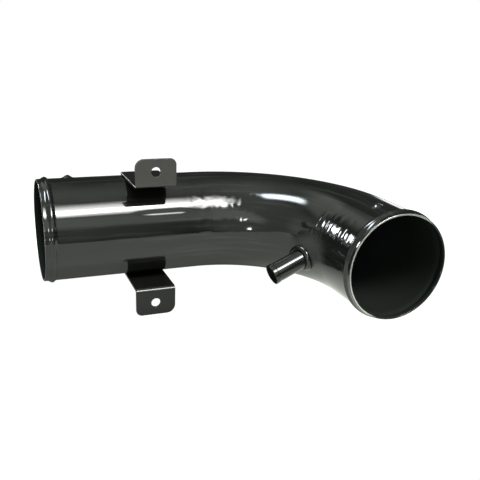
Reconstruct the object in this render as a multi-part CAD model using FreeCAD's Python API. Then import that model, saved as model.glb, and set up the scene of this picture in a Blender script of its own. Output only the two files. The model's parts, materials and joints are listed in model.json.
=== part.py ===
import FreeCAD, Part
import os
from math import cos, radians, sin, sqrt

from FreeCAD import Placement, Rotation, Vector

# Air filter tube: a bent steel tube with beaded ends, two folded brackets and a breather nipple.
# X runs along the inlet straight, the bend lies in the XY plane and turns towards -Y, and Z is up.
# The origin is on the brackets' bolting face, half way between their bolt holes. Millimetres and degrees.

# Tube
tube_od = 76.0
tube_wall = 1.5
inlet_length = 117.0
bend_radius = 101.6
bend_angle = 90.0
outlet_length = 41.0

# Rim and rolled hose bead, the same at both ends, with a long lead-in for the hose in front of it
rim_round = 0.4
bead_setback = 6.0
bead_height = 1.5
bead_inner_radius = 0.7
bead_lead_in = 4.0
bead_blend = 1.5

# Pip pressed out of the top of each end, which sets how the hose is turned
pip_setback = 22.5
pip_height = 2.3
pip_base_radius = 3.2
pip_blend = 3.0
inlet_pip_lean = 8.0
outlet_pip_lean = 11.0

# Folded brackets, one on the top of the inlet straight and the same pressing turned half round below
bracket_station = 77.5
bracket_width = 30.0
bracket_thickness = 2.0
fold_inner_radius = 1.5
foot_overhang = 7.0
foot_corner = 1.5
tab_stand_off = 5.0
tab_corner_left = 6.5
tab_corner_right = 4.5
bolt_rise = 12.0
bolt_diameter = 6.0
bolt_clearance = 1.0
bolt_edge = 9.4

# Breather nipple, let into the inner wall of the bend and raked back and down
nipple_od = 14.6
nipple_wall = 1.0
nipple_reach = 27.0
nipple_bend_angle = 70.5
nipple_section_angle = -17.0
nipple_yaw = 4.0
nipple_drop = 22.0
nipple_clearance = 0.1
lip_height = 0.4
lip_length = 2.5
lip_chamfer = 0.6

# Fillet welds round the nipple and along the end of each bracket's foot
nipple_weld_leg = 2.8
bracket_weld_leg = 3.0
bracket_weld_inset = 2.0

# Worked out from the sizes above
tube_radius = tube_od / 2
bore_radius = tube_radius - tube_wall
bead_radius = tube_wall + bead_inner_radius
pip_radius = (pip_base_radius ** 2 + pip_height ** 2) / (2 * pip_height)
pip_hollow_radius = pip_height + tube_wall / 2
bolt_height = tube_radius + bolt_rise
bolt_hole_radius = (bolt_diameter + bolt_clearance) / 2
nipple_radius = nipple_od / 2
nipple_weld_round = 0.8 * nipple_weld_leg
bracket_weld_end = 0.8 * bracket_weld_leg
bracket_weld_round = 0.7 * bracket_weld_leg
axis_y = tube_radius + tab_stand_off
foot_end = axis_y + foot_overhang
bend_centre = Vector(inlet_length - bracket_station, axis_y - bend_radius, 0)
along_x = Vector(1, 0, 0)
along_y = Vector(0, 1, 0)
up = Vector(0, 0, 1)
near = 0.01


def line(start, end):
    return Part.LineSegment(start, end).toShape()


def arc(start, middle, end):
    return Part.Arc(start, middle, end).toShape()


def filled(edges):
    return Part.Face(Part.Wire(Part.sortEdges(edges)[0]))


def from_bend_centre(angle):
    """The way out from the bend's centre to its centreline, at an angle round the bend."""
    return Vector(sin(radians(angle)), cos(radians(angle)), 0)


def inlet_place():
    """At the inlet rim's centre, with X into the tube."""
    return Placement(Vector(-bracket_station, axis_y, 0), Rotation())


def outlet_place():
    """At the outlet rim's centre, with X into the tube."""
    onward = from_bend_centre(bend_angle + 90)
    rim_centre = bend_centre + from_bend_centre(bend_angle) * bend_radius + onward * outlet_length
    return Placement(rim_centre, Rotation(up, 180 - bend_angle))


def nipple_place():
    """Where the nipple's axis leaves the tube's outer skin, with Z out along the nipple."""
    section = radians(nipple_section_angle)
    reach = bend_radius - tube_radius * cos(section)
    root = bend_centre + from_bend_centre(nipple_bend_angle) * reach + up * tube_radius * sin(section)
    aim = Rotation(up, nipple_yaw).multiply(Rotation(along_y, -nipple_drop)).multVec(-along_x)
    return Placement(root, Rotation(up, aim))


def beaded_skin(depth, length):
    """One skin of a straight end, with the rolled bead in it; depth is how deep the skin lies in the wall."""
    crest_radius = bead_radius - depth
    roll = Vector(bead_setback, tube_radius + bead_height - bead_radius, 0)
    edges = []
    joins = []
    for side, blend, end in ((-1, bead_lead_in, rim_round), (1, bead_blend, length)):
        rise = bead_radius + blend - bead_height
        spread = sqrt((bead_radius + blend) ** 2 - rise ** 2)
        hub = roll + Vector(side * spread, rise, 0)
        join = roll + (hub - roll).normalize() * crest_radius
        foot = hub - along_y * (blend + depth)
        sag = hub + (join + foot - hub * 2).normalize() * (blend + depth)
        edges.append(arc(join, sag, foot))
        edges.append(line(foot, Vector(end, foot.y, 0)))
        joins.append(join)
    edges.append(arc(joins[0], roll + along_y * crest_radius, joins[1]))
    return edges


def rim_edges():
    """The cut rim, with both of its corners rounded."""
    edges = [line(Vector(0, tube_radius - rim_round, 0), Vector(0, bore_radius + rim_round, 0))]
    for radius, side in ((tube_radius, -1), (bore_radius, 1)):
        hub = Vector(rim_round, radius + side * rim_round, 0)
        corner = hub + Vector(-1, -side, 0).normalize() * rim_round
        edges.append(arc(hub - along_x * rim_round, corner, Vector(rim_round, radius, 0)))
    return edges


def straight_end(length):
    """A straight end of the tube, turned about X from the section through its wall."""
    cut = line(Vector(length, tube_radius, 0), Vector(length, bore_radius, 0))
    section = beaded_skin(0, length) + beaded_skin(tube_wall, length) + rim_edges() + [cut]
    return filled(section).revolve(Vector(), along_x, 360)


def bend_rod(radius):
    """A solid rod along the bend, with its seam on the outside of the bend."""
    start = bend_centre + along_y * bend_radius
    ring = Part.makeCircle(radius, start, along_x)
    ring.rotate(start, along_x, -90)
    return filled([ring]).revolve(bend_centre, up, -bend_angle)


def path_rod(radius):
    """A solid rod along the whole tube, without beads."""
    rod = bend_rod(radius)
    for place, length in ((inlet_place(), inlet_length), (outlet_place(), outlet_length)):
        straight = Part.makeCylinder(radius, length, Vector(), along_x)
        straight.Placement = place
        rod = rod.fuse(straight)
    return rod.removeSplitter()


def nipple_rod(radius, inward, outward):
    rod = Part.makeCylinder(radius, inward + outward, up * -inward)
    rod.Placement = nipple_place()
    return rod


def pip_ball(radius, rise, place, lean):
    """A ball with its top a set rise above the tube's skin, its poles along the tube and its seam underneath."""
    outward = Vector(0, sin(radians(lean)), cos(radians(lean)))
    centre = place.multVec(along_x * pip_setback + outward * (tube_radius + rise - radius))
    shape = Part.makeSphere(radius, Vector(), along_x)
    shape.rotate(Vector(), along_x, 180)
    shape.Placement = Placement(centre, place.Rotation).multiply(shape.Placement)
    return shape


def press_pip(tube, place, lean):
    """Presses the wall out into a domed pip, blended into the skin and hollow behind."""
    dome = pip_ball(pip_radius, pip_height, place, lean)
    centre = dome.Placement.Base
    tube = tube.fuse(dome.cut(path_rod(bore_radius))).removeSplitter()
    foot = [edge for edge in tube.Edges
            if all(abs(point.distanceToPoint(centre) - pip_radius) < near for point in edge.discretize(7))]
    hollow = pip_ball(pip_hollow_radius, pip_height - tube_wall, place, lean)
    return tube.makeFillet(pip_blend, foot).cut(hollow)


def intake_tube():
    tube = bend_rod(tube_radius).cut(bend_rod(bore_radius))
    for place, length in ((inlet_place(), inlet_length), (outlet_place(), outlet_length)):
        end = straight_end(length)
        end.Placement = place
        tube = tube.fuse(end)
    tube = tube.removeSplitter()
    for place, lean in ((inlet_place(), inlet_pip_lean), (outlet_place(), outlet_pip_lean)):
        tube = press_pip(tube, place, lean)
    return tube.cut(nipple_rod(nipple_radius + nipple_clearance, tube_radius, nipple_reach))


def bracket_section():
    """The folded strip seen along X: the foot on the tube's top and the tab that turns up from it."""
    outer_fold = fold_inner_radius + bracket_thickness
    tab_top = bolt_height + bolt_edge
    hub = Vector(0, outer_fold, tube_radius + outer_fold)
    into_fold = Vector(0, -1, -1).normalize()
    edges = []
    for radius in (outer_fold, fold_inner_radius):
        foot_start = hub - up * radius
        tab_start = hub - along_y * radius
        edges.append(line(Vector(0, foot_end, foot_start.z), foot_start))
        edges.append(arc(foot_start, hub + into_fold * radius, tab_start))
        edges.append(line(tab_start, Vector(0, tab_start.y, tab_top)))
    edges.append(line(Vector(0, 0, tab_top), Vector(0, bracket_thickness, tab_top)))
    edges.append(line(Vector(0, foot_end, tube_radius), Vector(0, foot_end, tube_radius + bracket_thickness)))
    return filled(edges)


def bracket():
    """The upper bracket."""
    strip = bracket_section().extrude(along_x * bracket_width)
    strip.translate(along_x * (-bracket_width / 2))
    for side, radius in ((-1, tab_corner_left), (1, tab_corner_right)):
        corner = [edge for edge in strip.Edges
                  if edge.BoundBox.XLength < near and edge.BoundBox.ZMin > bolt_height + bolt_edge - near
                  and edge.BoundBox.XMin * side > bracket_width / 2 - near]
        strip = strip.makeFillet(radius, corner)
    across = [edge for edge in strip.Edges if edge.BoundBox.XLength < near]
    foot_corners = [edge for edge in across if edge.BoundBox.YMin > foot_end - near]
    strip = strip.makeFillet(foot_corner, foot_corners)
    hole = Part.makeCylinder(bolt_hole_radius, bracket_thickness, up * bolt_height, along_y)
    return strip.cut(hole)


def bracket_weld():
    """The weld between the end of the upper bracket's foot and the tube."""
    length = bracket_width - 2 * bracket_weld_inset
    corner = Vector(-length / 2, foot_end, 0)
    bar = Part.makeBox(length, bracket_weld_leg, tube_radius + bracket_thickness, corner)
    far = [edge for edge in bar.Edges if edge.BoundBox.YMin > foot_end + bracket_weld_leg - near]
    bar = bar.makeFillet(bracket_weld_end, [edge for edge in far if edge.BoundBox.XLength < near])
    top = [edge for edge in bar.Edges
           if edge.BoundBox.ZMin > tube_radius and edge.BoundBox.YMax > foot_end + bracket_weld_leg - near]
    bar = bar.makeFillet(bracket_weld_round, top)
    return bar.cut(path_rod(tube_radius))


def breather_nipple():
    """A stub with a hose lip at its tip, its inner end trimmed flush with the tube's bore."""
    bore = nipple_radius - nipple_wall
    lip_radius = nipple_radius + lip_height
    lip_end = nipple_reach - lip_chamfer
    lip_start = lip_end - lip_length
    half_section = Part.makePolygon([
        Vector(bore, 0, -tube_radius),
        Vector(nipple_radius, 0, -tube_radius),
        Vector(nipple_radius, 0, lip_start - lip_height),
        Vector(lip_radius, 0, lip_start),
        Vector(lip_radius, 0, lip_end),
        Vector(lip_radius - lip_chamfer, 0, nipple_reach),
        Vector(bore, 0, nipple_reach),
        Vector(bore, 0, -tube_radius),
    ])
    stub = Part.Face(half_section).revolve(Vector(), up, 360)
    stub.Placement = nipple_place()
    return stub.cut(path_rod(bore_radius))


def crosses_weld(point):
    """True on the curve where the collar round the nipple meets the thickened bend."""
    local = nipple_place().inverse().multVec(point)
    from_nipple = sqrt(local.x ** 2 + local.y ** 2) - nipple_radius
    in_plane = Vector(point.x, point.y, 0).distanceToPoint(bend_centre) - bend_radius
    from_tube = sqrt(in_plane ** 2 + point.z ** 2) - tube_radius
    return max(abs(from_nipple - nipple_weld_leg), abs(from_tube - nipple_weld_leg)) < near


def nipple_weld():
    """The weld round the nipple's root, which follows the saddle where the nipple leaves the tube."""
    collar = nipple_rod(nipple_radius + nipple_weld_leg, tube_radius, nipple_reach)
    ring = collar.common(bend_rod(tube_radius + nipple_weld_leg))
    crest = [edge for edge in ring.Edges if all(crosses_weld(point) for point in edge.discretize(7))]
    ring = ring.makeFillet(nipple_weld_round, crest)
    return ring.cut(bend_rod(tube_radius)).cut(nipple_rod(nipple_radius, tube_radius, nipple_reach))


def turned_over(shape):
    """A copy turned half round about the way the bolts point."""
    below = shape.copy()
    below.rotate(Vector(), along_y, 180)
    return below


pieces = {
    "intake_tube": intake_tube(),
    "upper_bracket": bracket(),
    "lower_bracket": turned_over(bracket()),
    "upper_bracket_weld": bracket_weld(),
    "lower_bracket_weld": turned_over(bracket_weld()),
    "breather_nipple": breather_nipple(),
    "nipple_weld": nipple_weld(),
}

os.makedirs("parts", exist_ok=True)
for name, shape in pieces.items():
    shape.exportStep("parts/" + name + ".step")
    print(name, "solids", len(shape.Solids), "valid", shape.isValid(), "volume", round(shape.Volume, 1))
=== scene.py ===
import json
import math
import bmesh
import bpy
from mathutils import Matrix, Vector


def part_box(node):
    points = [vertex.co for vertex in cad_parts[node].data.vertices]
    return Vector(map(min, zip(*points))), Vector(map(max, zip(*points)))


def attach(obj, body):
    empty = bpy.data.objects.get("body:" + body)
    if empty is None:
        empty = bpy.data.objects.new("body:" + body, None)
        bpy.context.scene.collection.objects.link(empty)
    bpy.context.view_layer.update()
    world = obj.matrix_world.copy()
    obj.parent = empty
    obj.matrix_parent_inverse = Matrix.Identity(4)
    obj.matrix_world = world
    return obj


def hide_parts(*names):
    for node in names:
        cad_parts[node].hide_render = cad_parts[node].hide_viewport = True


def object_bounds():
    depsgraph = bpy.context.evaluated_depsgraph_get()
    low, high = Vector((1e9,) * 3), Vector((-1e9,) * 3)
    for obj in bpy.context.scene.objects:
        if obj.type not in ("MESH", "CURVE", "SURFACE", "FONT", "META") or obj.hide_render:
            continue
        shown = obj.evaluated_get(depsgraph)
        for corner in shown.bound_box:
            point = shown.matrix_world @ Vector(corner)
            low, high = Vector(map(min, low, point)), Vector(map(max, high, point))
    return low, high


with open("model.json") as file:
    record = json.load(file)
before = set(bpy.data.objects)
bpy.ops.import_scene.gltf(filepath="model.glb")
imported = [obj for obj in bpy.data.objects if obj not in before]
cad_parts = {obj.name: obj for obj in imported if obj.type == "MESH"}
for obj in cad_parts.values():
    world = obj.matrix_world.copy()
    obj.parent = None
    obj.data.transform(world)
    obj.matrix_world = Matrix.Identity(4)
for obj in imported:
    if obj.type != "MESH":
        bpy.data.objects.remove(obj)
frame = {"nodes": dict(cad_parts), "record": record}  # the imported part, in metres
cadLow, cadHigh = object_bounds()  # its box, before anything is dressed
mm = 0.001
tau = math.tau
mounts = {mount["name"]: mount for mount in frame["record"]["mounts"]}
inletPlace = Vector(mounts["inlet_spigot"]["pos_m"])
outletPlace = Vector(mounts["outlet_spigot"]["pos_m"])
stubPlace = Vector(mounts["breather_spigot"]["pos_m"])  # the middle of the stub's lip
stubAxis = Vector(mounts["breather_spigot"]["axis"]).normalized()
tubeLow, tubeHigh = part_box("intake_tube")
weldLow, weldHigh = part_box("nipple_weld")
print("frame loaded,", len(frame["nodes"]), "nodes")


class Flow:  # a socket on its way through a node tree, so that maths reads as maths
    def __init__(self, tree, socket=None):
        self.tree = tree
        self.socket = socket

    def add(self, kind, settings=None, inputs=None, output=0):
        node = self.tree.nodes.new(kind)
        for name, value in (settings or {}).items():
            setattr(node, name, value)
        for name, value in (inputs or {}).items():
            if isinstance(value, Flow):
                self.tree.links.new(value.socket, node.inputs[name])
            else:
                node.inputs[name].default_value = value
        return Flow(self.tree, node.outputs[output])

    def other(self, output):  # another output of the same node
        return Flow(self.tree, self.socket.node.outputs[output])

    def math(self, operation, *values):
        return self.add("ShaderNodeMath", {"operation": operation}, dict(enumerate((self,) + values)))

    def __add__(self, value):
        return self.math("ADD", value)

    def __sub__(self, value):
        return self.math("SUBTRACT", value)

    def __mul__(self, value):
        return self.math("MULTIPLY", value)

    def __truediv__(self, value):
        return self.math("DIVIDE", value)

    def __pow__(self, value):
        return self.math("POWER", value)

    def __rsub__(self, value):
        return self.add("ShaderNodeMath", {"operation": "SUBTRACT"}, {0: value, 1: self})

    def __rtruediv__(self, value):
        return self.add("ShaderNodeMath", {"operation": "DIVIDE"}, {0: value, 1: self})

    __radd__ = __add__
    __rmul__ = __mul__

    def ramp(self, low, high, smooth=False):  # 0 at low, 1 at high
        kind = "SMOOTHSTEP" if smooth else "LINEAR"
        sockets = {"Value": self, "From Min": low, "From Max": high}
        return self.add("ShaderNodeMapRange", {"interpolation_type": kind}, sockets)

    def vector(self, operation, *values, output=0):
        sockets = dict(enumerate((self,) + values))
        return self.add("ShaderNodeVectorMath", {"operation": operation}, sockets, output)

    def noise(self, scale, detail=2.0, roughness=0.5):
        sockets = {"Vector": self, "Scale": scale, "Detail": detail, "Roughness": roughness}
        return self.add("ShaderNodeTexNoise", {}, sockets)

    def split(self):
        parts = self.add("ShaderNodeSeparateXYZ", {}, {0: self})
        return parts, parts.other(1), parts.other(2)

    def joined(self, *others):  # three values as one vector
        return self.add("ShaderNodeCombineXYZ", {}, dict(enumerate((self,) + others)))


# Geometry Nodes: a tree with named inputs, and the plain mesh that it makes

def newTree(name, sizes):
    kinds = {float: "NodeSocketFloat", int: "NodeSocketInt", Vector: "NodeSocketVector"}
    tree = bpy.data.node_groups.new(name, "GeometryNodeTree")
    tree.interface.new_socket("Geometry", in_out="OUTPUT", socket_type="NodeSocketGeometry")
    tree.interface.new_socket("Geometry", in_out="INPUT", socket_type="NodeSocketGeometry")
    for key, value in sizes.items():
        tree.interface.new_socket(key, in_out="INPUT", socket_type=kinds[type(value)])
    tree.interface.new_socket("paint", in_out="INPUT", socket_type="NodeSocketMaterial")
    start = tree.nodes.new("NodeGroupInput")
    return tree, {socket.name: Flow(tree, socket) for socket in start.outputs if socket.name}


def closeTree(mesh, paint, second=None):
    smooth = mesh.add("GeometryNodeSetShadeSmooth", {}, {0: mesh})
    whole = smooth.add("GeometryNodeRealizeInstances", {}, {0: smooth})
    painted = whole.add("GeometryNodeSetMaterial", {}, {"Geometry": whole, "Material": paint})
    if second:
        painted = painted.add("GeometryNodeSetMaterial", {}, {
            "Geometry": painted, "Selection": second[0], "Material": second[1]})
    end = mesh.tree.nodes.new("NodeGroupOutput")
    mesh.tree.links.new(painted.socket, end.inputs[0])


def plainMesh(piece, sharpAngle):
    graph = bpy.context.evaluated_depsgraph_get()
    mesh = bpy.data.meshes.new_from_object(piece.evaluated_get(graph))
    piece.modifiers.clear()
    piece.data = mesh
    mesh.set_sharp_from_angle(angle=math.radians(sharpAngle))
    print(piece.name, len(mesh.polygons), "faces")
    return piece


def newPiece(name, points, edges, faces):
    mesh = bpy.data.meshes.new(name)
    mesh.from_pydata(points, edges, faces)
    piece = bpy.data.objects.new(name, mesh)
    bpy.context.scene.collection.objects.link(piece)
    return piece


def grow(piece, tree, sizes, paint, sharpAngle):
    nodes = piece.modifiers.new(tree.name, "NODES")
    nodes.node_group = tree
    given = {**sizes, "paint": paint}
    for socket in tree.interface.items_tree:
        if socket.in_out == "INPUT" and socket.name in given:
            nodes[socket.identifier] = given[socket.name]
    return plainMesh(piece, sharpAngle)


def dress(piece, node):
    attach(piece, "root")
    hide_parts(node)


# Gloss black enamel over steel

enamel = {
    "colour": (0.0030, 0.0033, 0.0029, 1.0),
    "faded": (0.0048, 0.0052, 0.0046, 1.0),
    "patchScale": 22.0,  # cloudy patches, per metre
    "ior": 1.5,
    "roughness": 0.07,
    "roughnessSpread": 0.03,
    "peelScale": 420.0,  # orange peel, per metre
    "peelDepth": 0.004 * mm,
    "drawScale": 420.0,  # faint lines that the drawn tube keeps under the paint, per metre
    "drawDepth": 0.022 * mm,
    "drawStretch": (0.04, 1.0, 1.0),  # along the tube, and across it
    "nibCells": 70.0,  # cells per metre, a few of them with a nib of dust
    "nibShare": 0.93,
    "nibSize": 0.028,
    "nibDepth": 0.06 * mm,
    "speckCells": 26.0,  # cells per metre, some of them with a dull speck
    "speckShare": 0.60,
    "speckSize": 0.034,
    "speckRoughness": 0.5,
    "wiped": (0.012, 0.0125, 0.0118, 1.0),  # faint wipe marks along the tube
    "wipeScale": 300.0,
    "wipeRange": (0.50, 0.72),
    "weldSheen": (0.034, 0.034, 0.031, 1.0),  # a lighter patch beside the weld, a painted sheen; the patch is also rougher
    "weldPatchPlace": (weldLow + weldHigh) / 2 + Vector((7, -10, 4)) * mm,
    "weldPatchReach": 24 * mm,
    "weldPatchRoughness": 0.28,
    "steel": (0.66, 0.66, 0.63, 1.0),  # bare steel, painted as a highlight line on the rims and on the upper foot's edge
    "steelRoughness": 0.22,
    "rimEdge": (0.75, 0.30),  # how far round a rim the painted highlight line reaches, 0 at its tip
    "inletHighlight": 0.25,  # the painted highlight line is fainter on the inlet's rim than on the outlet's
    "highlightSlant": 0.6,  # the painted highlight line sits on the outlet rim's upper left, where light falls
    "highlightFade": 8 * mm,
    "outletZone": (-90 * mm, -95 * mm),
    "footHighlightAcross": (-14.5 * mm, -14.8 * mm),  # a painted highlight line of bare steel along the left edge of the upper foot
    "footHighlightBottom": (39.5 * mm, 39.7 * mm),
    "footHighlightTop": (40.5 * mm, 40.2 * mm),
    "tabSheen": (0.034, 0.034, 0.0315, 1.0),  # the bolting face of the upper tab, painted lighter: a painted sheen
    "dulledRoughness": 0.25,
    "boltingFace": (1.0 * mm, 0.3 * mm),  # depth, from the front of the tabs
    "tabSheenRise": (-30 * mm, 38 * mm),
    "plateGloss": 0.30,
    "stubDryness": 0.07,
    "boreColour": (0.0086, 0.0104, 0.0092, 1.0),
    "boreRoughness": 0.55,
    "boreGloss": 0.0,
}


def mixed(factor, first, second):
    sockets = {"Factor": factor, 6: first, 7: second}
    return factor.add("ShaderNodeMix", {"data_type": "RGBA"}, sockets, output=2)


def enamelPaint(name, drawn=False, bolted=False, dryness=0.0):
    paint = bpy.data.materials.new(name)
    paint.use_nodes = True
    tree = paint.node_tree
    shader = tree.nodes["Principled BSDF"]
    start = Flow(tree)
    place = start.add("ShaderNodeTexCoord", output="Object")
    patches = place.noise(enamel["patchScale"], 4.0, 0.6)
    cloud = patches.ramp(0.35, 0.70, smooth=True)
    colour = mixed(cloud, enamel["colour"], enamel["faded"])
    smear = place.noise(enamel["patchScale"] * 5, 3.0, 0.6)
    rough = enamel["roughness"] + dryness + enamel["roughnessSpread"] * (smear - 0.4) * 2
    peel = place.noise(enamel["peelScale"], 1.5, 0.5)
    height = peel * enamel["peelDepth"]
    cells = start.add("ShaderNodeTexVoronoi", {"feature": "F1"},
                      {"Vector": place, "Scale": enamel["nibCells"]})
    chosen = cells.other("Color").split()[0].math("GREATER_THAN", enamel["nibShare"])
    nib = cells.ramp(enamel["nibSize"], 0.0, smooth=True) * chosen
    height = height + nib * enamel["nibDepth"]
    specks = start.add("ShaderNodeTexVoronoi", {"feature": "F1"},
                       {"Vector": place, "Scale": enamel["speckCells"]})
    dull = specks.other("Color").split()[1].math("GREATER_THAN", enamel["speckShare"])
    dull = dull * (specks + peel * 0.02).ramp(enamel["speckSize"], enamel["speckSize"] * 0.5)
    rough = rough + dull * enamel["speckRoughness"]
    across, depth, rise = place.split()
    if drawn:
        unbent = start.add("ShaderNodeAttribute", {"attribute_name": "unbent"}, output="Vector")
        stretched = unbent.vector("MULTIPLY", enamel["drawStretch"])
        height = height + stretched.noise(enamel["drawScale"], 2.0, 0.6) * enamel["drawDepth"]
        wipes = stretched.noise(enamel["wipeScale"], 4.0, 0.65).ramp(*enamel["wipeRange"], smooth=True)
        colour = mixed(wipes, colour, enamel["wiped"])
        # beside the weld the enamel is rougher and painted lighter, a painted sheen
        fromWeld = place.vector("DISTANCE", enamel["weldPatchPlace"], output="Value")
        weldPatch = fromWeld.ramp(enamel["weldPatchReach"], enamel["weldPatchReach"] * 0.4, smooth=True)
        colour = mixed(weldPatch, colour, enamel["weldSheen"])
        rough = rough + weldPatch * enamel["weldPatchRoughness"]
        # the rims' tips get a bare steel line, a painted highlight, strongest at the outlet rim's upper
        # left where light falls
        facing = start.add("ShaderNodeAttribute", {"attribute_name": "facing"}, output="Fac")
        slanted = across - rise * enamel["highlightSlant"]
        fade = enamel["highlightFade"]
        litWear = slanted.ramp(outletPlace.x + fade, outletPlace.x - fade, smooth=True)
        inlet = enamel["inletHighlight"]
        litWear = litWear * (inlet + (1 - inlet) * depth.ramp(*enamel["outletZone"]))
        bareHighlight = facing.math("ABSOLUTE").ramp(*enamel["rimEdge"], smooth=True) * litWear
    if bolted:
        # the tabs' bolting faces are rougher; the upper tab's is also painted lighter, a painted sheen
        # that the rise ramp keeps off the lower tab
        bolting = depth.ramp(*enamel["boltingFace"]) * (0.8 + 0.4 * smear)
        colour = mixed(bolting * rise.ramp(*enamel["tabSheenRise"]), colour, enamel["tabSheen"])
        rough = rough + bolting * enamel["dulledRoughness"]
        # the upper foot's left edge gets a painted highlight line of bare steel
        bareHighlight = across.ramp(*enamel["footHighlightAcross"])
        bareHighlight = bareHighlight * rise.ramp(*enamel["footHighlightBottom"]) * rise.ramp(*enamel["footHighlightTop"])
    if drawn or bolted:
        colour = mixed(bareHighlight, colour, enamel["steel"])
        rough = rough + bareHighlight * enamel["steelRoughness"]
        tree.links.new(bareHighlight.socket, shader.inputs["Metallic"])
    relief = start.add("ShaderNodeBump", {}, {"Strength": 1.0, "Distance": 1.0, "Height": height})
    for socket, flow in {"Base Color": colour, "Roughness": rough, "Normal": relief}.items():
        tree.links.new(flow.socket, shader.inputs[socket])
    shader.inputs["IOR"].default_value = enamel["ior"]
    return paint


def borePaint(name):  # the thin, dry coat that reaches the inside of the tube
    paint = bpy.data.materials.new(name)
    paint.use_nodes = True
    shader = paint.node_tree.nodes["Principled BSDF"]
    shader.inputs["Base Color"].default_value = enamel["boreColour"]
    shader.inputs["Roughness"].default_value = enamel["boreRoughness"]
    shader.inputs["Specular IOR Level"].default_value = enamel["boreGloss"]
    return paint


tubePaint = enamelPaint("blackEnamelTube", drawn=True)
stubPaint = enamelPaint("blackEnamelStub", dryness=enamel["stubDryness"])
platePaint = enamelPaint("blackEnamelPlate", bolted=True)
plateShader = platePaint.node_tree.nodes["Principled BSDF"]
plateShader.inputs["Specular IOR Level"].default_value = enamel["plateGloss"]
dryPaint = borePaint("blackEnamelBore")
print("paint mixed")


# The tube: one wall loop, out over the skin and back through the bore, swept round and then bent

stubRadius = 7.3 * mm

tube = {
    "outerRadius": mounts["inlet_spigot"]["dims"]["r_mm"] * mm,
    "wall": 1.5 * mm,
    "bendRadius": 101.6 * mm,
    "beadSetback": 6.0 * mm,
    "beadRadius": 2.2 * mm,
    "beadLeadIn": 4.0 * mm,
    "beadBlend": 1.5 * mm,
    "pipSetback": 22.5 * mm,
    "pipHeight": 2.3 * mm,
    "pipReach": 6.6 * mm,
    "inletPipTurn": math.radians(82),
    "outletPipTurn": math.radians(101),
    "foldPitch": 8.0 * mm,  # folds round the inside of the bend
    "foldDrift": 17 * mm,
    "foldDepth": 0.19 * mm,
    "lumpSize": 13 * mm,
    "lumpDepth": 0.75 * mm,  # uneven skin where the bend starts
    "clampTurn": math.radians(152.5),  # a shallow lengthwise groove from the bender's clamp
    "clampWidth": 1.6 * mm,
    "clampDepth": 0.25 * mm,
    "stubHole": stubRadius + 0.1 * mm,
    "holeSteps": 96,
    "drillLength": 60 * mm,
    "mergeWithin": 0.01 * mm,
    "boreFacing": -0.6,  # below this the skin counts as bore, and is painted dry
    "loopSteps": 490,
    "roundSteps": 181,
}
tube["bendX"] = outletPlace.x - tube["bendRadius"]
tube["bendY"] = inletPlace.y - tube["bendRadius"]
tube["inletLength"] = tube["bendX"] - tubeLow.x
tube["outletLength"] = tube["bendY"] - tubeLow.y
tube["beadHeight"] = min(tubeHigh.x - outletPlace.x, tubeHigh.y - inletPlace.y) - tube["outerRadius"]
tube["stubPlace"] = stubPlace
tube["stubAxis"] = stubAxis
rimShare = 0.01  # the part of the wall loop that each quarter of a rim takes
outerShare = 0.68  # and the part that its outer half takes
endCrowding = 0.45  # stations crowd together towards the beads
sideCrowding = 0.45  # and round the section towards the inside of the bend
crowdTurn = math.radians(128)


def beadLift(size, station, length, depth):
    along = station.math("MINIMUM", length - station) - size["beadSetback"]
    inFront = along.math("LESS_THAN", 0.0)
    off = along.math("ABSOLUTE")
    blend = inFront * size["beadLeadIn"] + (1.0 - inFront) * size["beadBlend"]
    both = size["beadRadius"] + blend
    spread = (size["beadHeight"] * (2.0 * both - size["beadHeight"])).math("SQRT")
    crestRadius = size["beadRadius"] - depth
    blendRadius = blend + depth
    toEdge = (spread - off).math("MAXIMUM", 0.0)
    crest = (crestRadius ** 2.0 - off ** 2.0).math("MAXIMUM", 0.0).math("SQRT")
    crest = crest - crestRadius + size["beadHeight"]
    shoulder = blendRadius - (blendRadius ** 2.0 - toEdge ** 2.0).math("MAXIMUM", 0.0).math("SQRT")
    onCrest = off.math("LESS_THAN", spread * crestRadius / both)
    return onCrest * crest + (1.0 - onCrest) * shoulder


def domeLift(size, along, across):
    away = (along ** 2.0 + (across * size["outerRadius"]) ** 2.0).math("SQRT") / size["pipReach"]
    dome = (away.math("MINIMUM", 1.0) * math.pi).math("COSINE") * 0.5 + 0.5
    return dome ** 2.0 * size["pipHeight"]


skinZones = {  # where the skin wanders: two limits fade a zone in, and two more fade it out
    "lumpInward": (0.2, 0.6),  # cosine towards the inside of the bend
    "lumpUpward": (-0.1, 0.3),  # sine upwards
    "foldInward": (0.55, 0.80),
    "foldUpward": (0.12, 0.36),
    "bendEntry": (-0.15, 0.0, 0.42, 0.28),  # share of the bend's length
    "bendExit": (0.80, 0.90, 1.21, 1.16),
    "clampZone": (-0.36, -0.24, -0.04, -0.12),
}


def zone(place, name):
    limits = skinZones[name]
    mask = place.ramp(*limits[:2], smooth=True)
    return mask * place.ramp(*limits[2:], smooth=True) if len(limits) > 2 else mask


def skinWander(size, unbent, station, turn, bendShare):
    inward = turn.math("COSINE") * -1.0
    upward = turn.math("SINE")
    lumpy = zone(inward, "lumpInward") * zone(upward, "lumpUpward")
    folded = zone(inward, "foldInward") * zone(upward, "foldUpward")
    early = zone(bendShare, "bendEntry")
    late = zone(bendShare, "bendExit")
    lump = (unbent.noise(1.0 / size["lumpSize"], 2.0, 0.5) - 0.5) * size["lumpDepth"] * early
    drift = unbent.noise(1.0 / size["foldDrift"], 1.0) * 1.4
    uneven = unbent.noise(2.0 / size["foldDrift"], 1.0).ramp(0.35, 0.65)
    fold = ((station / size["foldPitch"] + drift) * tau).math("SINE") * size["foldDepth"]
    fold = fold * uneven * (late + early * 0.3)
    aside = (turn - size["clampTurn"]) * size["outerRadius"] / size["clampWidth"]
    groove = (aside * aside * -1.0).math("EXPONENT") * size["clampDepth"] * zone(bendShare, "clampZone")
    return lump * lumpy + fold * folded - groove


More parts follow.
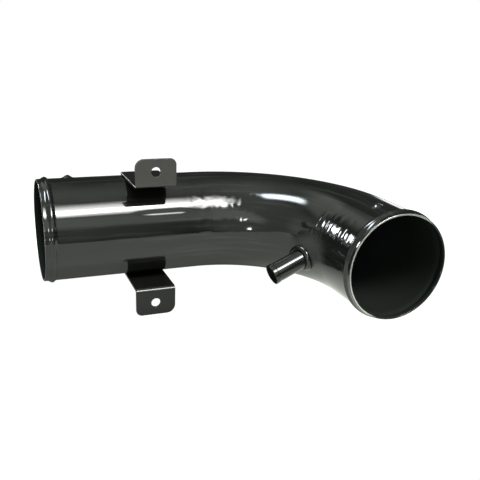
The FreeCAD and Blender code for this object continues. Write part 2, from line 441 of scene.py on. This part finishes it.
def tubeTree():
    tree, size = newTree("bentTube", tube)
    start = Flow(tree)
    grid = start.add("GeometryNodeMeshGrid", {}, {
        "Size X": 1.0, "Size Y": 1.0, "Vertices X": size["loopSteps"], "Vertices Y": size["roundSteps"]})
    across, around = start.add("GeometryNodeInputPosition").split()[:2]
    loop = (across + 0.5).ramp(0.0, outerShare) * 0.5 + (across + 0.5).ramp(outerShare, 1.0) * 0.5
    circle = (around + 0.5) * tau
    turn = circle - sideCrowding * (circle - crowdTurn).math("SINE")
    half = size["wall"] * 0.5
    length = size["inletLength"] + size["bendRadius"] * (tau / 4) + size["outletLength"]
    there = 0.5 - (loop - 0.5).math("ABSOLUTE")
    share = there.ramp(rimShare, 0.5 - rimShare)
    share = share - endCrowding / tau * (share * tau).math("SINE")
    quarters = loop.ramp(0.0, rimShare) + loop.ramp(0.5 - rimShare, 0.5)
    quarters = quarters + loop.ramp(0.5, 0.5 + rimShare) + loop.ramp(1.0 - rimShare, 1.0)
    facing = math.pi - quarters * (math.pi / 2)
    station = half + share * (length - size["wall"]) + half * facing.math("COSINE")
    skin = half * facing.math("SINE")
    lift = beadLift(size, station, length, half - skin)
    for fromEnd, pipTurn in ((station, "inletPipTurn"), (length - station, "outletPipTurn")):
        lift = lift + domeLift(size, fromEnd - size["pipSetback"], turn - size[pipTurn])
    bendStart = station - size["inletLength"]
    bendShare = bendStart / (size["bendRadius"] * (tau / 4))
    plain = size["outerRadius"] - half + skin
    unbent = station.joined(plain * turn.math("COSINE"), plain * turn.math("SINE"))
    radius = plain + lift + skinWander(size, unbent, station, turn, bendShare)
    bend = (bendStart / size["bendRadius"]).math("MAXIMUM", 0.0).math("MINIMUM", tau / 4)
    past = bendStart - size["bendRadius"] * bend
    reach = size["bendRadius"] + radius * turn.math("COSINE")
    x = size["bendX"] + reach * bend.math("SINE") + past * bend.math("COSINE")
    y = size["bendY"] + reach * bend.math("COSINE") - past * bend.math("SINE")
    marked = grid.add("GeometryNodeStoreNamedAttribute", {"data_type": "FLOAT_VECTOR", "domain": "POINT"},
                      {"Geometry": grid, "Name": "unbent", "Value": unbent})
    marked = marked.add("GeometryNodeStoreNamedAttribute", {"data_type": "FLOAT", "domain": "POINT"},
                        {"Geometry": marked, "Name": "facing", "Value": skin / half})
    bent = marked.add("GeometryNodeSetPosition", {}, {
        "Geometry": marked, "Position": x.joined(y, radius * turn.math("SINE"))})
    closed = bent.add("GeometryNodeMergeByDistance", {}, {
        "Geometry": bent, "Distance": size["mergeWithin"]})
    rod = start.add("GeometryNodeMeshCylinder", {}, {
        "Vertices": size["holeSteps"], "Radius": size["stubHole"], "Depth": size["drillLength"]})
    aim = start.add("FunctionNodeAlignRotationToVector", {"axis": "Z"}, {"Vector": size["stubAxis"]})
    placed = rod.add("GeometryNodeTransform", {}, {
        "Geometry": rod, "Translation": size["stubPlace"], "Rotation": aim})
    holed = closed.add("GeometryNodeMeshBoolean", {"operation": "DIFFERENCE"},
                       {"Mesh 1": closed, "Mesh 2": placed})
    outward = start.add("GeometryNodeInputNamedAttribute", {"data_type": "FLOAT"}, {"Name": "facing"})
    closeTree(holed, size["paint"], (outward.math("LESS_THAN", size["boreFacing"]), dryPaint))
    return tree


bentTube = grow(newPiece("bentTube", [], [], []), tubeTree(), tube, tubePaint, sharpAngle=40)
dress(bentTube, "intake_tube")


# The breather stub, turned about its own axis, its root trimmed flush with the bore

stub = {
    "outerRadius": stubRadius,
    "wall": 1.0 * mm,
    "lipRadius": mounts["breather_spigot"]["dims"]["r_mm"] * mm,
    "lipLength": mounts["breather_spigot"]["dims"]["length_mm"] * mm,
    "lipRise": 0.5 * mm,  # how far along the lip rises from the stub
    "tipLength": 0.6 * mm,
    "tipChamfer": 0.3 * mm,
    "edgeRound": 0.22 * mm,
    "roundedFrom": 15,  # degrees between faces
    "dryWithin": 0.05 * mm,  # bore and end face, painted dry
    "steps": 96,
}
stubSide = stubAxis.orthogonal().normalized()
stubUp = stubAxis.cross(stubSide)


def besideStub(angle, radius, along):
    return stubPlace + stubAxis * along + (stubSide * math.cos(angle) + stubUp * math.sin(angle)) * radius


def fromPath(point):  # distance from the bend's centre line
    inPlane = math.hypot(point.x - tube["bendX"], point.y - tube["bendY"]) - tube["bendRadius"]
    return math.hypot(inPlane, point.z)


def meetsSkin(angle, radius, skin):  # how far along the stub a line beside it meets that skin
    outside, inside = 0.0, -tube["outerRadius"]
    for halving in range(40):
        middle = (outside + inside) / 2
        if fromPath(besideStub(angle, radius, middle)) > skin:
            outside = middle
        else:
            inside = middle
    return outside


def turnedStub():
    bore = stub["outerRadius"] - stub["wall"]
    lipEnd = stub["lipLength"] / 2
    tip = lipEnd + stub["tipLength"]
    profile = [
        (None, stub["outerRadius"]),
        (-lipEnd - stub["lipRise"], stub["outerRadius"]),
        (-lipEnd, stub["lipRadius"]),
        (tip - stub["tipChamfer"], stub["lipRadius"]),
        (tip, stub["lipRadius"] - stub["tipChamfer"]),
        (tip, bore),
        (None, bore),
    ]
    angles = [tau * step / stub["steps"] for step in range(stub["steps"])]
    points = []
    for along, radius in profile:
        for angle in angles:
            end = meetsSkin(angle, radius, tube["outerRadius"] - tube["wall"])
            points.append(besideStub(angle, radius, end if along is None else along))
    faces = []
    for row in range(len(profile)):
        after = (row + 1) % len(profile)
        for step in range(stub["steps"]):
            beside = (step + 1) % stub["steps"]
            corners = [(row, step), (row, beside), (after, beside), (after, step)]
            faces.append([line * stub["steps"] + place for line, place in corners])
    piece = newPiece("breatherStub", points, [], faces)
    piece = finishEdges(piece, stub["edgeRound"], stub["roundedFrom"], stubPaint)
    piece.data.materials.append(dryPaint)
    for face in piece.data.polygons:
        fromLip = face.center - stubPlace
        along = fromLip.dot(stubAxis)
        outward = (fromLip - stubAxis * along).length
        if outward < bore + stub["dryWithin"] or along > tip - stub["dryWithin"]:
            face.material_index = 1
    return piece


def finishEdges(piece, width, angle, paint):  # rounds a piece's edges and keeps its flats flat
    piece.data.materials.append(paint)
    shape = bmesh.new()
    shape.from_mesh(piece.data)
    bmesh.ops.recalc_face_normals(shape, faces=shape.faces)
    shape.to_mesh(piece.data)
    shape.free()
    piece.data.shade_smooth()
    bevel = piece.modifiers.new("roundedEdges", "BEVEL")
    bevel.width = width
    bevel.segments = 3
    bevel.limit_method = "ANGLE"
    bevel.angle_limit = math.radians(angle)
    flats = piece.modifiers.new("flatFaces", "WEIGHTED_NORMAL")
    flats.keep_sharp = True
    return plainMesh(piece, sharpAngle=60)


breatherStub = turnedStub()
dress(breatherStub, "breather_nipple")


# Weld beads: a rippled round bead that follows a path

weld = {
    "radius": 2.2 * mm,
    "sunk": 0.9 * mm,  # how far the bead's middle stands off both walls
    "ripplePitch": 2.6 * mm,
    "rippleDepth": 0.24,
    "rippleDrift": 180.0,  # noise per metre, in the pitch and in the bead's size
    "wanderScale": 160.0,
    "wander": 0.40,
    "endTaper": 0.0,
    "leastTaper": 0.05,
    "step": 0.3 * mm,
    "section": 20,
}
footWeld = {**weld, "radius": 2.1 * mm, "endTaper": 2.6 * mm}


def weldTree():
    sizes = {key: weld[key] for key in weld if key != "sunk"}
    tree, size = newTree("weldBead", sizes)
    path = size["Geometry"].add("GeometryNodeMeshToCurve", {}, {0: size["Geometry"]})
    path = path.add("GeometryNodeResampleCurve", {"mode": "LENGTH"},
                    {"Curve": path, "Length": size["step"]})
    along = path.add("GeometryNodeSplineParameter", output="Length")
    whole = path.add("GeometryNodeSplineLength")
    place = path.add("GeometryNodeInputPosition")
    puddle = (along / size["ripplePitch"] + place.noise(size["rippleDrift"])).math("FRACT")
    ripple = 1.0 - size["rippleDepth"] * (puddle * 2.0 - 1.0) ** 2.0
    uneven = 1.0 + size["wander"] * (place.noise(size["wanderScale"], 1.0) - 0.5)
    nearEnd = along.math("MINIMUM", whole - along) / (size["endTaper"] + 0.001 * mm)
    short = 1.0 - nearEnd.math("MINIMUM", 1.0)
    taper = (1.0 - short ** 2.0).math("MAXIMUM", 0.0).math("SQRT")
    cyclic = path.add("GeometryNodeInputSplineCyclic")
    taper = taper.math("MAXIMUM", cyclic).math("MAXIMUM", size["leastTaper"])
    sized = path.add("GeometryNodeSetCurveRadius", {}, {"Curve": path, "Radius": ripple * uneven * taper})
    ring = path.add("GeometryNodeCurvePrimitiveCircle", {}, {
        "Resolution": size["section"], "Radius": size["radius"]})
    bead = sized.add("GeometryNodeCurveToMesh", {}, {
        "Curve": sized, "Profile Curve": ring, "Fill Caps": True})
    closeTree(bead, size["paint"])
    return tree


beadTree = weldTree()


def layBead(name, points, closed, settings):
    edges = [(place, place + 1) for place in range(len(points) - 1)]
    if closed:
        edges.append((len(points) - 1, 0))
    sizes = {key: settings[key] for key in settings if key != "sunk"}
    return grow(newPiece(name, points, edges, []), beadTree, sizes, stubPaint, sharpAngle=70)


saddle = []
for step in range(stub["steps"]):
    angle = tau * step / stub["steps"]
    beside = stub["outerRadius"] + weld["sunk"]
    along = meetsSkin(angle, beside, tube["outerRadius"] + weld["sunk"])
    saddle.append(besideStub(angle, beside, along))
dress(layBead("breatherWeld", saddle, True, weld), "nipple_weld")


# Brackets: folded plates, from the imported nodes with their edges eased

bracket = {
    "edgeRound": 0.35 * mm,
    "roundedFrom": 40,  # degrees between faces
    "mergeWithin": 0.002 * mm,
    "flatWithin": math.radians(1),
    "weldInset": 0.7 * mm,  # from the front of the weld's node to the bead's middle
    "weldLift": 0.1 * mm,
}


def easedPlate(name, node):
    source = frame["nodes"][node].data
    points = [vertex.co.copy() for vertex in source.vertices]
    piece = newPiece(name, points, [], [tuple(face.vertices) for face in source.polygons])
    shape = bmesh.new()
    shape.from_mesh(piece.data)
    bmesh.ops.remove_doubles(shape, verts=shape.verts, dist=bracket["mergeWithin"])
    flat = bracket["flatWithin"]
    bmesh.ops.dissolve_limit(shape, angle_limit=flat, verts=shape.verts, edges=shape.edges)
    shape.to_mesh(piece.data)
    shape.free()
    return finishEdges(piece, bracket["edgeRound"], bracket["roundedFrom"], platePaint)


for side, sign in {"upper": 1, "lower": -1}.items():
    dress(easedPlate(side + "Bracket", side + "_bracket"), side + "_bracket")
    low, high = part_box(side + "_bracket_weld")
    footEnd = low.y + bracket["weldInset"]
    skinHeight = math.sqrt(tube["outerRadius"] ** 2 - (footEnd - inletPlace.y) ** 2)
    height = sign * (skinHeight + bracket["weldLift"])
    ends = [Vector((x, footEnd, height)) for x in (low.x, high.x)]
    dress(layBead(side + "FootWeld", ends, False, footWeld), side + "_bracket_weld")
print("pieces dressed")


# The stage: a floor and a dim room with soft lights, both plain white to the camera's own rays

floorSettings = {
    "left": -0.9, "right": 1.1, "front": -0.20, "back": 2.5,  # metres
    "frontGlow": 1.14,
    "fades": [  # the next glow towards the back, and where it fades in, in metres
        (0.14, -0.03, 0.05),  # under the tube: a painted shadow, seen only in reflections
        (1.50, 0.12, 0.17),
        (0.12, 0.25, 0.38),
    ],
    "tint": (1.0, 1.05, 0.95),
    "colour": (0.04, 0.04, 0.04, 1.0),
}
roomTint = (0.99, 1.04, 0.97)
room = {
    "dim": 0.04,
    "overhead": 0.82,
    "overheadPower": 7.0,
    "tint": roomTint,
    "leastAhead": 0.1,  # a light is cut off beyond this, as the cosine from its middle
    "lights": [  # half widths in degrees, each with half its soft edge
        {"azimuth": 13, "elevation": 54.5,  # main light, high in front
         "across": (15, 6), "below": (11.5, 4), "above": (8, 9),
         "colour": (1.0, 1.0, 0.99), "strength": 22},
        {"azimuth": 13, "elevation": 51,  # its brighter core
         "across": (14, 6), "below": (3.4, 1.8), "above": (3.4, 1.8),
         "colour": (1.0, 1.0, 0.99), "strength": 50},
        {"azimuth": -114, "elevation": 66.5, "tilt": 40,  # cool light, high on the left
         "across": (14, 4), "below": (5, 4), "above": (4.5, 3.5),
         "colour": (0.82, 0.91, 1.0), "strength": 38},
        {"azimuth": -148, "elevation": 17.5,  # small cool light behind it
         "across": (5, 2), "below": (3.5, 1.5), "above": (3.5, 1.5),
         "colour": (0.93, 0.96, 1.0), "strength": 36},
        {"azimuth": -28, "elevation": 14.3,  # two small lamps
         "across": (4.2, 1.2), "below": (2.4, 1), "above": (2.4, 1),
         "colour": (1.0, 1.0, 1.0), "strength": 34},
        {"azimuth": -37.3, "elevation": -5.5,
         "across": (2.6, 1), "below": (2.2, 1), "above": (2.2, 1),
         "colour": (1.0, 1.0, 1.0), "strength": 34},
        {"azimuth": 8, "elevation": 24,  # wide, low front light
         "across": (55, 12), "below": (8, 5), "above": (16, 8),
         "colour": roomTint, "strength": 1.0},
        {"azimuth": -50, "elevation": 10,  # fills, from the left and behind it
         "across": (50, 25), "below": (35, 10), "above": (45, 20),
         "colour": roomTint, "strength": 0.5},
        {"azimuth": -120, "elevation": 0,
         "across": (28, 10), "below": (25, 8), "above": (25, 12),
         "colour": roomTint, "strength": 0.4},
        {"azimuth": -153, "elevation": 44,
         "across": (20, 7), "below": (13, 6), "above": (12, 8),
         "colour": roomTint, "strength": 0.75},
        {"azimuth": 130, "elevation": -8,  # low light, behind on the right
         "across": (13.5, 1.2), "below": (30, 8), "above": (14, 1.2),
         "colour": (1.0, 1.0, 1.0), "strength": 2.2},
    ],
}


def towards(azimuth, elevation):  # azimuth 0 is towards the viewer
    a, e = math.radians(azimuth), math.radians(elevation)
    return Vector((math.sin(a) * math.cos(e), -math.cos(a) * math.cos(e), math.sin(e)))


def softLight(gaze, light):
    centre = towards(light["azimuth"], light["elevation"])
    level = Vector((0, 0, 1)).cross(centre).normalized()
    side = Matrix.Rotation(math.radians(light.get("tilt", 0)), 3, centre) @ level
    rise = centre.cross(side)
    ahead = gaze.vector("DOT_PRODUCT", centre, output="Value")
    mask = ahead.math("GREATER_THAN", room["leastAhead"])
    edges = [(side, "across"), (side * -1, "across"), (rise, "above"), (rise * -1, "below")]
    for axis, edge in edges:
        half, soft = light[edge]
        off = gaze.vector("DOT_PRODUCT", axis, output="Value")
        off = off / ahead.math("MAXIMUM", room["leastAhead"])
        inner = math.tan(math.radians(half - soft))
        outer = math.tan(math.radians(half + soft))
        mask = mask * off.ramp(outer, inner, smooth=True)
    return mask * light["strength"]


def lightRoom():
    world = bpy.data.worlds.new("studio")
    bpy.context.scene.world = world
    world.use_nodes = True
    tree = world.node_tree
    shader = tree.nodes["Background"]
    start = Flow(tree)
    gaze = start.add("ShaderNodeTexCoord", output="Generated")
    height = gaze.split()[2]
    total = height.math("MAXIMUM", 0.0) ** room["overheadPower"] * room["overhead"] + room["dim"]
    shade = total.joined(total, total).vector("MULTIPLY", room["tint"])
    for light in room["lights"]:
        glow = softLight(gaze, light)
        tint = glow.joined(glow, glow).vector("MULTIPLY", light["colour"])
        shade = shade.vector("ADD", tint)
    seen = start.add("ShaderNodeLightPath", output="Is Camera Ray")
    colour = start.add("ShaderNodeMix", {"data_type": "VECTOR"},
                       {"Factor": seen, 4: shade, 5: (1.0, 1.0, 1.0)}, output=1)
    tree.links.new(colour.socket, shader.inputs["Color"])


def layFloor():
    left, right, front, back = [floorSettings[side] for side in ("left", "right", "front", "back")]
    corners = [(x, y, cadLow.z) for x, y in ((left, front), (right, front), (right, back), (left, back))]
    floor = newPiece("floor", corners, [], [(0, 1, 2, 3)])
    paint = bpy.data.materials.new("paleFloor")
    paint.use_nodes = True
    shader = paint.node_tree.nodes["Principled BSDF"]
    shader.inputs["Base Color"].default_value = floorSettings["colour"]
    shader.inputs["Roughness"].default_value = 1.0
    shader.inputs["Specular IOR Level"].default_value = 0.0
    shader.inputs["Emission Strength"].default_value = 1.0
    nodes = Flow(paint.node_tree)
    # the floor glows as a light, brighter in front and in a band behind; under the tube the glow drops, a
    # painted shadow seen only in reflections
    depth = nodes.add("ShaderNodeTexCoord", output="Object").split()[1]
    glow = floorSettings["frontGlow"]
    for level, start, stop in floorSettings["fades"]:
        fade = depth.ramp(start, stop, smooth=True)
        glow = glow * (1.0 - fade) + level * fade
    seen = nodes.add("ShaderNodeLightPath", output="Is Camera Ray")
    glow = glow.joined(glow, glow).vector("MULTIPLY", floorSettings["tint"])
    glow = glow.vector("MAXIMUM", seen.joined(seen, seen))
    paint.node_tree.links.new(glow.socket, shader.inputs["Emission Color"])
    floor.data.materials.append(paint)


lightRoom()
layFloor()
print("stage lit")


# The camera, at the photograph's angle

camera = {
    "place": Vector((-117.6, -443.4, 153.4)) * mm,
    "heading": 22.49,  # degrees, from +Y towards +X
    "dip": 18.37,
    "roll": 2.41,
    "lens": 49.48,
    "sensor": 36.0,
}


def setCamera():
    view = bpy.data.objects.new("camera", bpy.data.cameras.new("camera"))
    bpy.context.scene.collection.objects.link(view)
    view.data.lens = camera["lens"]
    view.data.sensor_width = camera["sensor"]
    view.data.clip_start = 10 * mm
    turn = Matrix.Rotation(math.radians(-camera["heading"]), 4, "Z")
    tilt = Matrix.Rotation(math.radians(90 - camera["dip"]), 4, "X")
    roll = Matrix.Rotation(math.radians(camera["roll"]), 4, "Z")
    view.matrix_world = Matrix.Translation(camera["place"]) @ turn @ tilt @ roll
    bpy.context.scene.camera = view


setCamera()
bpy.context.scene.view_settings.view_transform = "Standard"
print("camera set")
